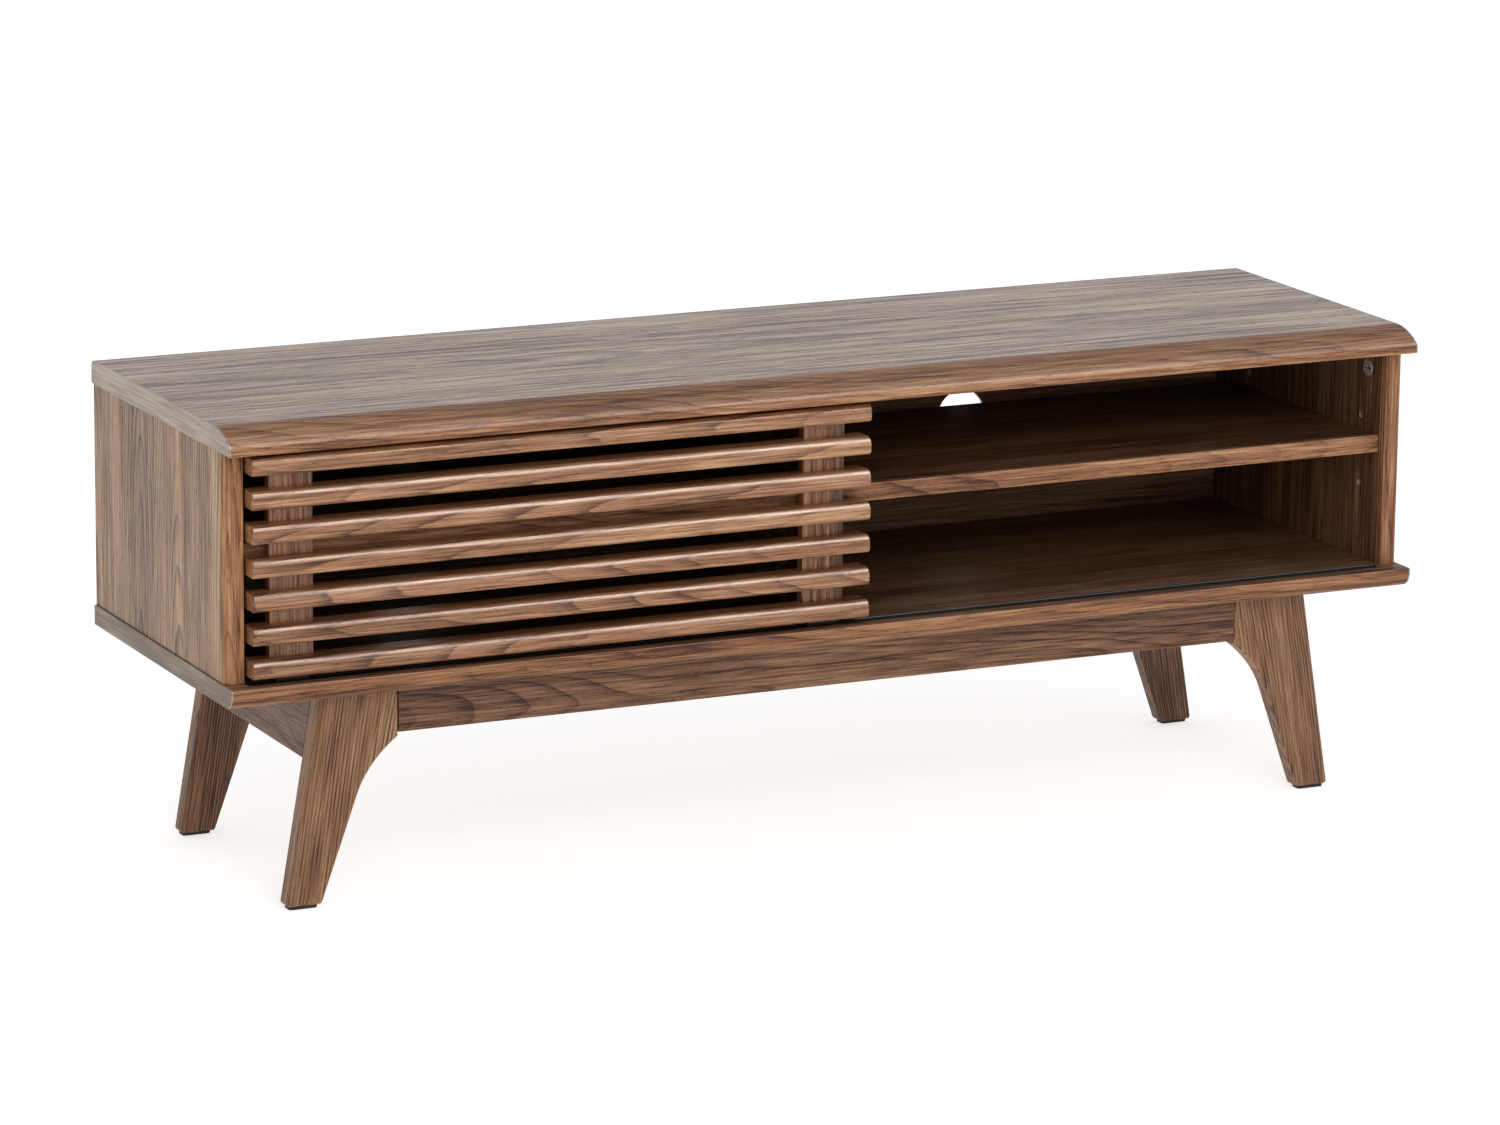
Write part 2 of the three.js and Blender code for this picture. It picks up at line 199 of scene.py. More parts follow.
# %% A turned piece
def turned(name, profile, centre, axis, material, sides=32, direction=1):
    """A closed turned piece: profile rows are (distance along the axis, radius).

    Point (k, t) lies radius k from the axis at the angle t, and distance k along it from the centre.
    """
    along, radius = np.asarray(profile, float).T
    angle = np.arange(sides) * 2 * math.pi / sides
    first, second = [k for k in range(3) if k != AXIS[axis]]
    points = np.empty((len(along), sides, 3))
    points[..., first] = centre[first] + radius[:, None] * np.cos(angle)
    points[..., second] = centre[second] + radius[:, None] * np.sin(angle)
    points[..., AXIS[axis]] = centre[AXIS[axis]] + direction * along[:, None]
    flip = (axis == "Y") != (direction < 0)
    return make_mesh(name, points.reshape(-1, 3), skin(len(along), sides, flip), material)


def joined(name, pieces):
    """Several pieces as one object, for repeated small parts such as screws.

    The pieces' vertices follow each other in one list, so each piece's faces count on from the
    vertices before it.
    """
    points, faces, slots, materials, start = [], [], [], [], 0
    for piece in pieces:
        mesh = piece.data
        place = np.empty(len(mesh.vertices) * 3, np.float32)
        mesh.vertices.foreach_get("co", place)
        points.append(place.reshape(-1, 3))
        for material in mesh.materials:
            if material not in materials:
                materials.append(material)
        for face in mesh.polygons:
            faces.append([start + v for v in face.vertices])
            slots.append(materials.index(mesh.materials[face.material_index]))
        start += len(mesh.vertices)
        bpy.data.objects.remove(piece)
    whole = make_mesh(name, np.concatenate(points), faces, materials[0])
    for material in materials[1:]:
        whole.data.materials.append(material)
    whole.data.polygons.foreach_set("material_index", slots)
    return whole


# %% [markdown]
# ## Drilling and grooving
#
# Grooves, rebates and blind holes are machined out of a finished board. The Boolean modifier does
# the same: each cutter takes its shape out of the board, and the new faces take the cutter's
# material, which is the raw chipboard core under the veneer.

# %% Cutting a board
def cut(piece, *tools):
    """Takes every tool's shape out of the piece for good, then removes the tools."""
    for tool in tools:
        step = piece.modifiers.new(tool.name, "BOOLEAN")
        step.operation, step.solver, step.material_mode = "DIFFERENCE", "MANIFOLD", "TRANSFER"
        step.object = tool
    graph = bpy.context.evaluated_depsgraph_get()
    made = bpy.data.meshes.new_from_object(piece.evaluated_get(graph))
    piece.modifiers.clear()
    piece.data = made
    for tool in tools:
        bpy.data.objects.remove(tool)
    return piece


# %% [markdown]
# ## Shader maths as expressions
#
# A wood pattern is arithmetic on coordinates. A small class wraps a shader socket so that the
# formula reads as a formula, and each operator adds its Math node.

# %% The shader notebook
class Wire:
    """A socket that carries a number. Arithmetic on it adds Math nodes."""

    def __init__(self, recipe, socket):
        self.recipe = recipe
        self.socket = socket

    def math(self, operation, *others):
        return self.recipe.maths(operation, self, *others)

    def __add__(self, other):
        return self.math("ADD", other)

    def __sub__(self, other):
        return self.math("SUBTRACT", other)

    def __rsub__(self, other):
        return self.recipe.maths("SUBTRACT", other, self)

    def __mul__(self, other):
        return self.math("MULTIPLY", other)

    def __truediv__(self, other):
        return self.math("DIVIDE", other)

    def __pow__(self, other):
        return self.math("POWER", other)

    __radd__ = __add__
    __rmul__ = __mul__


class Recipe:
    """A material under construction, with its Principled shader."""

    def __init__(self, name, **constants):
        self.material = bpy.data.materials.new(name)
        self.material.use_nodes = True
        self.nodes = self.material.node_tree.nodes
        self.links = self.material.node_tree.links
        self.shader = self.nodes["Principled BSDF"]
        for socket, value in constants.items():
            self.shader.inputs[socket.replace("_", " ")].default_value = value

    def add(self, kind, settings=None, inputs=None, out=0):
        """Adds a node: its settings first, then the values or links of its sockets."""
        node = self.nodes.new(kind)
        for key, value in (settings or {}).items():
            if key == "stops":
                self.set_stops(node.color_ramp, value)
            else:
                setattr(node, key, value)
        for key, value in (inputs or {}).items():
            if isinstance(value, Wire):
                self.links.new(value.socket, node.inputs[key])
            else:
                node.inputs[key].default_value = value
        return Wire(self, node.outputs[out])

    @staticmethod
    def set_stops(ramp, stops):
        while len(ramp.elements) < len(stops):
            ramp.elements.new(0.5)
        for element, (position, colour) in zip(ramp.elements, stops):
            element.position = position
            element.color = (*colour, 1)

    def maths(self, operation, *numbers):
        return self.add("ShaderNodeMath", {"operation": operation}, dict(enumerate(numbers)))

    def own_place(self):
        """Coordinates of the piece's own frame, in metres."""
        return self.parts(self.add("ShaderNodeTexCoord", out="Object"))

    def attribute(self, name, out):
        return self.add("ShaderNodeAttribute", {"attribute_name": name}, out=out)

    def parts(self, vector):
        split = self.add("ShaderNodeSeparateXYZ", {}, {0: vector}).socket.node
        return [Wire(self, output) for output in split.outputs]

    def noise(self, x, y, z, detail=2.0):
        """Noise about zero, roughly from -0.5 to 0.5, with one swing for each unit of x, y and z."""
        place = self.add("ShaderNodeCombineXYZ", {}, {0: x, 1: y, 2: z})
        inputs = {"Vector": place, "Scale": 1.0, "Detail": detail}
        return self.add("ShaderNodeTexNoise", {}, inputs) - 0.5

    def between(self, value, low, high):
        """0 below low, 1 above high, and a smooth rise between them."""
        settings = {"interpolation_type": "SMOOTHSTEP"}
        return self.add("ShaderNodeMapRange", settings, {0: value, 1: low, 2: high})

    def tint(self, value, *colours):
        """A ramp through colours that lie evenly between 0 and 1."""
        stops = [(i / (len(colours) - 1), colour) for i, colour in enumerate(colours)]
        return self.add("ShaderNodeValToRGB", {"stops": stops}, {0: value})

    def bumps(self, height, strength, distance):
        inputs = {"Height": height, "Strength": strength, "Distance": distance}
        return self.add("ShaderNodeBump", {}, inputs)

    def feed(self, **sockets):
        """Links the wires to the Principled shader's sockets and hands over the material."""
        for socket, wire in sockets.items():
            self.links.new(wire.socket, self.shader.inputs[socket.replace("_", " ")])
        return self.material


# %% [markdown]
# ## Where a board lay in the log
#
# Wood has its figure because of how it grew: year rings round the heart of a trunk that tapers. A
# board cut flat through the log shows arches, and one cut towards the heart shows straight lines.
# So each finished piece gets an attribute that says where in its log each of its points lay: metres
# along the trunk, and two distances from its heart. One formula then gives the right figure on
# faces, edges and end grain alike.

# %% Sawing pieces from the log
UNIT = {"X": (1, 0, 0), "Y": (0, 1, 0), "Z": (0, 0, 1)}
luck = np.random.default_rng(11)


def saw(piece, along, across, off_heart=0.0, depth=0.055, tone=0.0):
    """Writes the log attribute: (along the trunk, across the board, distance below the heart).

    A point's place is its dot product with the board's own three directions. The first is shifted by
    chance, the second starts at the board's middle plus off_heart, and the third adds depth.
    """
    mesh = piece.data
    u = np.array(UNIT[along] if isinstance(along, str) else along, float)
    v = np.array(UNIT[across] if isinstance(across, str) else across, float)
    directions = np.stack([u / np.linalg.norm(u), v, np.cross(u, v)])
    place = np.empty(len(mesh.vertices) * 3, np.float32)
    mesh.vertices.foreach_get("co", place)
    log = place.reshape(-1, 3) @ directions.T
    middle = (log.min(0) + log.max(0)) / 2
    log -= [0, middle[1], middle[2]]
    log += [luck.uniform(0, 40), off_heart + luck.uniform(-0.01, 0.01), depth]
    places = mesh.attributes.new("log", "FLOAT_VECTOR", "POINT")
    places.data.foreach_set("vector", log.astype(np.float32).ravel())
    shade = np.full(len(mesh.vertices), tone + luck.uniform(-0.04, 0.04), np.float32)
    mesh.attributes.new("tone", "FLOAT", "POINT").data.foreach_set("value", shade)
    return piece


def settle(piece, slot, *nodes, body="cabinet"):
    """Crisp faces beside soft edges, then the piece takes its CAD nodes' place on their body."""
    piece.data.set_sharp_from_angle(angle=math.radians(42))
    piece.modifiers.new("flat faces", "WEIGHTED_NORMAL").keep_sharp = True
    if nodes:
        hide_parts(*nodes)
    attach(piece, body)
    return piece


def timber(piece, slot, node, along, across, body="cabinet", **place_in_log):
    """Saws a finished piece from the log and settles it."""
    saw(piece, along, across, **place_in_log)
    return settle(piece, slot, node, body=body)


# %% [markdown]
# ## Walnut
#
# Four scales make walnut: broad clouds of tone, the year rings with their dark late wood, fibres
# that run on for centimetres, and short open pores that the lacquer doesn't fill. Veneer adds a
# fifth, because it is laid in leaves of one width, each from another part of the log.

# %% Walnut shader
def walnut(
    name, deep, mid, pale, ring=5 * MM, taper=0.04, figure=1.0, lively=1.0, coarse=1.0,
    waver=3 * MM, leaf=None, leaf_tone=0.3, **gloss,
):
    """Walnut on the log attribute, where u runs along the trunk and v and w lie across it.

    The year rings are whole numbers of (distance from the heart + taper * u) / ring, bent by noise.
    In each ring the late wood darkens as the fourth power of the way through it. Streaks, fibres
    and pores are noises that are stretched along u, each finer than the one before. A leaf is a
    strip of one width, and steps of the golden ratio give each its own place in the log and tone.
    """
    look = {"rough": 0.42, "coat": 0.1, "sheen": 0.3, "specular": 0.35} | gloss
    recipe = Recipe(name, Coat_Roughness=look["sheen"], Specular_IOR_Level=look["specular"])
    u, v, w = recipe.parts(recipe.attribute("log", "Vector"))
    tone = recipe.attribute("tone", "Fac")
    if leaf:
        number = (v / leaf).math("ROUND")
        chance = (number * 0.381 + 0.7).math("FRACT")
        other = (number * 0.618 + 0.43).math("FRACT")
        v = v - number * leaf + other * other * 0.14
        u = u + chance * 5
        tone = tone + (chance - 0.5) * leaf_tone
    bend = recipe.noise(u * 1.6, v * 9, w * 9)
    ripple = recipe.noise(u * 14, v * 70, w * 70, detail=3.0)
    radius = (v * v + w * w).math("SQRT") + u * taper + bend * 0.045 + ripple * waver
    year = (radius / ring).math("FRACT")
    late = year**4 - recipe.between(year, 0.96, 1.0) * 0.8
    strength = recipe.between(recipe.noise(u * 4, v * 40, w * 40), -0.2, 0.15)
    cloud = recipe.noise(u * 2.2, v * 20, w * 20, detail=3.0)
    streak = recipe.noise(u * 4, v * 150, w * 150, detail=4.0)
    fibre = recipe.noise(u * 20, v * 560, w * 560, detail=4.0)
    pore = recipe.noise(u * 150, v * 900, w * 900, detail=1.0)
    open_pore = recipe.between(pore, 0.06, 0.2)
    grain = (cloud + streak * 1.3) * coarse + fibre * 1.6 - open_pore * 0.16
    value = tone + 0.53 + (grain - late * strength * (0.5 * figure)) * lively
    height = fibre * 0.7 - open_pore * 0.6 - late * 0.25
    return recipe.feed(
        Base_Color=recipe.tint(value, deep, mid, pale),
        Roughness=look["rough"] + fibre * 0.4 + open_pore * 0.15,
        Coat_Weight=look["coat"] * (fibre * 3.0 + streak * 3.0 + 1.0),
        Normal=recipe.bumps(height, 0.4, 0.25 * MM),
    )


# Top and sides: paler, greyer colours, partly the veneer's tone and partly a painted sheen.
walnut_top = walnut(
    "walnut_top", (0.085, 0.045, 0.036), (0.335, 0.215, 0.15), (0.54, 0.4, 0.29),
    ring=9 * MM, lively=1.4, coarse=0.7, coat=0.3,
)
walnut_edge = walnut(
    "walnut_edge", (0.085, 0.03, 0.014), (0.29, 0.14, 0.066), (0.5, 0.3, 0.16),
    taper=0.06, coarse=0.8, rough=0.5, coat=0.03,
)
walnut_side = walnut(
    "walnut_side", (0.09, 0.05, 0.035), (0.31, 0.19, 0.11), (0.5, 0.35, 0.21),
    ring=4.5 * MM, taper=0.06, figure=2.0, coarse=0.6, waver=1.2 * MM, leaf=66 * MM, leaf_tone=0.28,
)
# The case walnut is dark partly as painted shade for the dim inside of the case.
walnut_case = walnut(
    "walnut_case", (0.045, 0.017, 0.009), (0.16, 0.078, 0.038), (0.32, 0.18, 0.097),
    leaf=110 * MM, rough=0.5, coat=0.04,
)
# A darker walnut for the sides' inner faces: painted shade for the dim inside of the case.
walnut_inner_painted_shade = walnut(
    "walnut_inner_painted_shade", (0.045, 0.018, 0.009), (0.17, 0.088, 0.045), (0.33, 0.2, 0.115),
    leaf=80 * MM, rough=0.5, coat=0.04,
)
walnut_slat = walnut(
    "walnut_slat", (0.1, 0.038, 0.018), (0.32, 0.16, 0.078), (0.54, 0.33, 0.185),
    ring=7 * MM, taper=0.08, figure=1.3, lively=0.9, coarse=0.65, rough=0.38, coat=0.5, sheen=0.3,
)
# Frame and apron walnut is darker: partly its own wood, partly painted shade under the case.
walnut_frame = walnut(
    "walnut_frame", (0.045, 0.018, 0.01), (0.22, 0.112, 0.057), (0.38, 0.23, 0.13),
    ring=3.3 * MM, taper=0.02, figure=1.9, coarse=0.4, waver=0.5 * MM,
)
walnut_apron = walnut(
    "walnut_apron", (0.045, 0.018, 0.01), (0.19, 0.096, 0.052), (0.35, 0.21, 0.12),
    ring=3.5 * MM, coarse=0.7, waver=1.5 * MM,
)
walnut_back = walnut(
    "walnut_back", (0.06, 0.025, 0.013), (0.19, 0.1, 0.053), (0.33, 0.2, 0.115),
    leaf=150 * MM, rough=0.55, coat=0.0,
)
print("walnut for the slats:", len(walnut_slat.node_tree.nodes), "nodes")

# %% [markdown]
# ## Edge band, raw core, plastic and metal
#
# The ends of the top and bottom panels are closed with a greyish band that shows only a trace of
# grain. Machined grooves and holes show the pale, gritty core of chipboard. The tracks and guides
# are dark plastic with a faint drawn grain, and the fittings are zinc and steel.

# %% Other finishes
def band_finish(name, dark, mid, pale):
    """Printed band: a fine grain along the board under a faint cloud of tone."""
    recipe = Recipe(name, Coat_Weight=0.1, Coat_Roughness=0.3)
    x, y, z = recipe.own_place()
    grain = recipe.noise(x * 40, y * 16, z * 420, detail=4.0)
    cloud = recipe.noise(x * 5, y * 12, z * 60)
    return recipe.feed(
        Base_Color=recipe.tint(grain * 1.5 + cloud * 0.8 + 0.52, dark, mid, pale),
        Roughness=grain * 0.2 + 0.42,
        Normal=recipe.bumps(grain, 0.25, 0.2 * MM),
    )


def core_finish():
    """Chipboard: chips of about 4 mm among flat flakes."""
    recipe = Recipe("raw_core", Specular_IOR_Level=0.2)
    x, y, z = recipe.own_place()
    chips = recipe.noise(x * 260, y * 260, z * 260, detail=4.0)
    flakes = recipe.noise(x * 90, y * 90, z * 500)
    shades = (0.16, 0.1, 0.06), (0.4, 0.29, 0.19), (0.62, 0.5, 0.36)
    return recipe.feed(
        Base_Color=recipe.tint(chips * 1.2 + flakes * 0.6 + 0.5, *shades),
        Roughness=chips * 0.1 + 0.85,
        Normal=recipe.bumps(chips, 0.6, 0.3 * MM),
    )


def plastic_finish(name, dark, light, roughness):
    """Extruded plastic: fine grit, and lines drawn along its length by the die."""
    recipe = Recipe(name)
    x, y, z = recipe.own_place()
    grit = recipe.noise(x * 900, y * 900, z * 900, detail=3.0)
    drawn = recipe.noise(x * 6, y * 700, z * 700)
    return recipe.feed(
        Base_Color=recipe.tint(grit * 0.6 + drawn * 0.5 + 0.5, dark, light),
        Roughness=grit * 0.2 + roughness,
        Normal=recipe.bumps(grit + drawn * 0.6, 0.25, 0.08 * MM),
    )


def metal_finish(name, dark, light, roughness):
    """Plated metal: a cast skin with duller patches."""
    recipe = Recipe(name, Metallic=0.7)
    x, y, z = recipe.own_place()
    cast = recipe.noise(x * 700, y * 700, z * 700, detail=3.0)
    stain = recipe.noise(x * 120, y * 120, z * 120)
    return recipe.feed(
        Base_Color=recipe.tint(cast * 0.5 + stain * 0.7 + 0.5, dark, light),
        Roughness=cast * 0.2 + stain * 0.1 + roughness,
        Normal=recipe.bumps(cast, 0.2, 0.06 * MM),
    )


band = band_finish("edge_band", (0.15, 0.115, 0.09), (0.31, 0.25, 0.195), (0.48, 0.41, 0.34))
# A darker copy of the band for the bottom panel's ends: painted shade low on the cabinet.
low_band_painted_shade = band_finish("low_edge_band_painted_shade", (0.07, 0.045, 0.03), (0.155, 0.108, 0.072), (0.28, 0.22, 0.16))
# A lighter band for the bands' rims: a painted highlight along their eased edges.
band_rim_painted_highlight = band_finish("band_rim_painted_highlight", (0.2, 0.15, 0.11), (0.34, 0.27, 0.21), (0.5, 0.43, 0.36))
core = core_finish()
track_plastic = plastic_finish("track_plastic", (0.008, 0.006, 0.005), (0.035, 0.03, 0.027), 0.5)
glide_plastic = plastic_finish("glide_plastic", (0.014, 0.009, 0.008), (0.06, 0.04, 0.034), 0.75)
zinc = metal_finish("zinc", (0.5, 0.5, 0.5), (0.9, 0.9, 0.9), 0.42)
steel = metal_finish("steel", (0.3, 0.3, 0.3), (0.6, 0.6, 0.6), 0.28)
finishes = [band, low_band_painted_shade, band_rim_painted_highlight, core, track_plastic, glide_plastic, zinc, steel]
print("other finishes:", [material.name for material in finishes])

# %% [markdown]
# ## Top
#
# The top is a veneered panel with a solid lipping along its front. The lipping is shaped after it
# is glued on: a long arc falls towards the front and ends in a narrow upright edge. The panel's
# upper back edge is rounded, a rebate along its underside takes the back panel, and a groove in the
# lipping takes the track. A thin band closes each end.

# %% The top's section
BAND = 1.5 * MM
HAIR = 0.08 * MM
FIT = 0.2 * MM
SHARP = 0.1 * MM
sweep = {"radius": 62 * MM, "run": 35 * MM, "corner": 3 * MM}
top_front = top_low[1]
top_joint = top_front + sweep["run"] + sweep["corner"]
top_back_round = 6 * MM
roof = top_low[2]
inner_x = side_low[0]
rebate_front = back_low[1] - 0.3 * MM
SIDES = {"left": -1, "right": 1}


def sweep_arc(steps=14):
    """The lipping's long arc from its joint down to the front.

    It is part of a circle of the sweep's radius whose centre lies straight below the joint.
    """
    last = math.asin(sweep["run"] / sweep["radius"])
    angle = np.linspace(0, last, steps + 1)
    y = top_joint - sweep["radius"] * np.sin(angle)
    z = top_high[2] - sweep["radius"] * (1 - np.cos(angle))
    return np.stack([y, z], 1)


def front_edge(arc):
    """The corner between the arc and the upright edge: a quadratic curve on the arc's own tangent."""
    y, z = arc[-1]
    slope = (arc[-1, 1] - arc[-2, 1]) / (arc[-1, 0] - arc[-2, 0])
    knee = np.array([top_front, z + slope * (top_front - y)])
    end = knee - [0, sweep["corner"]]
    t = np.linspace(0, 1, 7)[1:, None]
    return (1 - t) ** 2 * arc[-1] + 2 * t * (1 - t) * knee + t**2 * end


arc = sweep_arc()
nose = [(top_front, roof + 0.6 * MM), (top_front + 0.6 * MM, roof)]
heel = [(top_joint - HAIR, roof), (top_joint - HAIR, top_high[2])]
top_lip = np.concatenate([heel, arc[1:], front_edge(arc), nose])
panel_y = top_joint + HAIR, top_high[1]
panel_corners = [(panel_y[0], roof), (panel_y[1], roof), (panel_y[1], top_high[2]), (panel_y[0], top_high[2])]
top_panel = rounded(panel_corners, [FIT, 0.6 * MM, top_back_round, SHARP], steps=6)
top_whole = np.concatenate([top_panel, arc[1:], front_edge(arc), nose])
print("points round the lipping:", len(top_lip), "| round the panel:", len(top_panel))

# %% [markdown]
# ## Cutters for grooves and rebates
#
# A router takes a groove for the track out of the lipping, and a rebate for the back panel out of
# the panel's edge. Both stop short of the ends. The same two cutters serve the top from below and
# the bottom panel from above, so each one is told the height of the face and which way is into the
# board.

# %% Cutters
def tool_box(name, low, high):
    """A cutter: a plain block of raw core from the low corner to the high one."""
    outline = rectangle(low[1], high[1], low[2], high[2], 0.02 * MM)
    return bar(name, outline, "X", low[0], high[0], core, ease=0.02 * MM, steps=1)


groove_y = track_low[1] - FIT, track_high[1] + FIT
groove_depth = track_high[2] - track_low[2] + 0.3 * MM
rebate_depth = 6.2 * MM


def groove(floor, up):
    """The cutter for a track's groove: it enters the board from its face at the height floor."""
    low_z, high_z = sorted([floor - up * MM, floor + up * groove_depth])
    reach = inner_x - FIT
    return tool_box("groove", (-reach, groove_y[0], low_z), (reach, groove_y[1], high_z))


def rebate(floor, up):
    """The cutter for the back panel's rebate in the top or the bottom panel."""
    reach = inner_x + rebate_depth
    low_z, high_z = sorted([floor - up * MM, floor + up * rebate_depth])
    return tool_box("rebate", (-reach, rebate_front, low_z), (reach, back_high[1] + 9 * MM, high_z))


print("groove:", round(groove_depth / MM, 1), "mm deep | rebate:", round(rebate_depth / MM, 1), "mm deep")

# %% [markdown]
# ## The top, put together
#
# Lipping and panel are cut a band's width short at each end, and a band closes the end over both. A
# band's rim is painted lighter, a painted highlight along its eased edge, and the panel's back edge is
# banded in plainer walnut, so some faces get a material of their own.

# %% Top panel, lipping and end bands
def repaint(piece, material, rule):
    """Gives the faces that the rule picks a further material."""
    piece.data.materials.append(material)
    last = len(piece.data.materials) - 1
    for face in piece.data.polygons:
        if rule(face):
            face.material_index = last


def full_length(name, outline, material):
    """A board as long as the cabinet, less a band at each end."""
    reach = top_high[0] - BAND
    return bar(name, outline, "X", -reach, reach, material, ease=SHARP, steps=1)


def on_back_edge(face):
    return face.normal.y > 0.4 and face.center.y > top_high[1] - top_back_round


def on_rim(face):
    return abs(face.normal.x) < 0.8


top_lipping = full_length("top_lipping", top_lip, walnut_edge)
cut(top_lipping, groove(roof, 1))
timber(top_lipping, "walnut_top", "top_panel", "X", "Y", off_heart=0.004, depth=0.03, tone=-0.02)

top_board = full_length("top_board", top_panel, walnut_top)
cut(top_board, rebate(roof, 1))
repaint(top_board, walnut_edge, on_back_edge)
timber(top_board, "walnut_top", "top_panel", "X", "Y", off_heart=0.01, depth=0.06)


def end_band(name, outline, sign, node, slot, material):
    """A band over a board's end: the board's own outline, with an eased outer rim."""
    ends = sorted([sign * (top_high[0] - BAND), sign * top_high[0]])
    ease = (0.4 * MM, 0.02 * MM) if sign < 0 else (0.02 * MM, 0.4 * MM)
    strip = bar(name, outline, "X", *ends, material, ease=ease, steps=3)
    # The rim faces take the lighter band, a painted highlight along the eased edge.
    repaint(strip, band_rim_painted_highlight, on_rim)
    settle(strip, slot, node)


for side, sign in SIDES.items():
    end_band(f"top_{side}_band", top_whole, sign, "top_panel", "walnut_top", band)
print("top:", len(top_board.data.polygons), "+", len(top_lipping.data.polygons), "faces")

# %% [markdown]
# ## Bottom
#
# The bottom panel is made the same way, with its lipping's lower front edge rounded. The floor of
# the case is the panel's upper face, so its veneer runs along the cabinet too.

# %% Bottom panel, lipping and end bands
floor = base_high[2]
bottom_round = 14 * MM
low_front = [(base_low[1], floor), (base_low[1], base_low[2])]
low_radii = [1.2 * MM, bottom_round]
low_joint = [(top_joint - HAIR, base_low[2]), (top_joint - HAIR, floor)]
low_lip = rounded(low_joint + low_front, [SHARP, SHARP, *low_radii], steps=8)
low_panel = rectangle(top_joint + HAIR, base_high[1], base_low[2], floor, SHARP)
low_back = [(base_high[1], base_low[2]), (base_high[1], floor)]
low_whole = rounded(low_back + low_front, [0.6 * MM, 0.6 * MM, *low_radii], steps=8)
bottom_lipping = full_length("bottom_lipping", low_lip, walnut_edge)
cut(bottom_lipping, groove(floor, -1))
# The lipping's tone is darkened: painted shade on the low front, which the floor lights from below.
timber(bottom_lipping, "walnut_case", "bottom_panel", "X", "Z", off_heart=0.012, depth=0.04, tone=-0.13)

bottom_board = full_length("bottom_board", low_panel, walnut_case)
cut(bottom_board, rebate(floor, -1))
# The tone is lifted: painted light on the floor of the case near its front.
timber(bottom_board, "walnut_case", "bottom_panel", "X", "Y", depth=0.05, tone=0.12)
for side, sign in SIDES.items():
    # The bottom's ends take the darker band copy, painted shade.
    end_band(f"bottom_{side}_band", low_whole, sign, "bottom_panel", "walnut_case", low_band_painted_shade)
print("bottom:", len(bottom_board.data.polygons), "+", len(bottom_lipping.data.polygons), "faces")

# %% [markdown]
# ## Sides and divider
#
# A side panel is veneered upright in narrow leaves, and its front edge is a solid lipping with a
# rounded outer corner. Its inner face has rows of blind holes for the shelf pins, 32 mm apart, and
# two wider bores for the cams. Each drill has a slight flare, so a hole's rim is eased too.

# %% Drills
PIN_PITCH = 32 * MM
pin_hole = {"radius": 2.9 * MM, "depth": 7.8 * MM}
cam_bore = {"radius": 7.8 * MM, "depth": 12.3 * MM}
side_round = 7 * MM
lip_depth = 8 * MM


def middle(node):
    """The middle of a node's box."""
    low, high = box_of(node)
    return (low + high) / 2


def drill(name, centre, direction, radius, depth):
    """A drill that enters a face square to X at the centre: its flare widens by 0.3 mm at the face."""
    profile = [(-MM, radius + 1.3 * MM), (0.3 * MM, radius), (depth, radius)]
    return turned(name, profile, centre, "X", core, sides=24, direction=direction)


def pin_drills(face_x, direction, nodes):
    """Three holes above each other for every shelf pin: its own, one above and one below."""
    places = [middle(node) + [0, 0, step * PIN_PITCH] for node in nodes for step in (-1, 0, 1)]
    return [drill(f"hole_{i}", (face_x, *place[1:]), direction, **pin_hole) for i, place in enumerate(places)]


def bores(face_x, direction, nodes):
    """A bore for every cam."""
    places = [middle(node) for node in nodes]
    return [drill(f"bore_{i}", (face_x, *place[1:]), direction, **cam_bore) for i, place in enumerate(places)]


print("pin holes:", pin_hole, "| cam bores:", cam_bore)

# %% [markdown]
# ## The upright boards
#
# Each side is a panel and a lipping. Its inner face gets a darker walnut, painted shade for the dim
# inside of the case. The divider has pin holes in both faces and shows no fixings.

# %% Side panels, their lippings and the divider
ROWS = ["front", "back"]
side_z = side_low[2], side_high[2]
side_joint = side_low[1] + lip_depth

for side, sign in SIDES.items():
    inner, outer = sign * inner_x, sign * side_high[0]

    def on_shaded_inner_face(face):
        return face.normal.x * sign < -0.9 and abs(face.center.x) < inner_x + MM

    seam_y = side_joint + HAIR
    corners = [(inner, seam_y), (outer, seam_y), (outer, side_high[1]), (inner, side_high[1])]
    plan = rounded(corners, [0.3 * MM, 0.3 * MM, 0.6 * MM, 0.4 * MM])
    panel = bar(f"{side}_side_board", plan, "Z", *side_z, walnut_side, ease=0.25 * MM)
    near, far = sorted([inner - sign * MM, inner + sign * rebate_depth])
    low, high = (near, rebate_front, side_z[0] - MM), (far, side_high[1] + MM, side_z[1] + MM)
    pins = [f"{side}_shelf_pin_outer_{row}" for row in ROWS]
    cams = [f"{side}_cam_lock_{row}" for row in ROWS]
    cut(panel, tool_box("rebate", low, high), *pin_drills(inner, sign, pins), *bores(inner, sign, cams))
    # The inner faces take the darker walnut, painted shade inside the case.
    repaint(panel, walnut_inner_painted_shade, on_shaded_inner_face)
    timber(panel, "walnut_case", f"{side}_side_panel", "Z", "Y", off_heart=0.035, depth=0.015)

    seam_y = side_joint - HAIR
    corners = [(inner, seam_y), (inner, side_low[1]), (outer, side_low[1]), (outer, seam_y)]
    plan = rounded(corners, [0.3 * MM, 0.8 * MM, side_round, 0.3 * MM], 8)
    node, tone = f"{side}_side_panel", {"left": 0.02, "right": -0.18}[side]
    lipping = bar(f"{side}_side_lipping", plan, "Z", *side_z, walnut_edge, ease=0.25 * MM)
    timber(lipping, "walnut_case", node, "Z", "X", off_heart=0.03, depth=0.07, tone=tone)

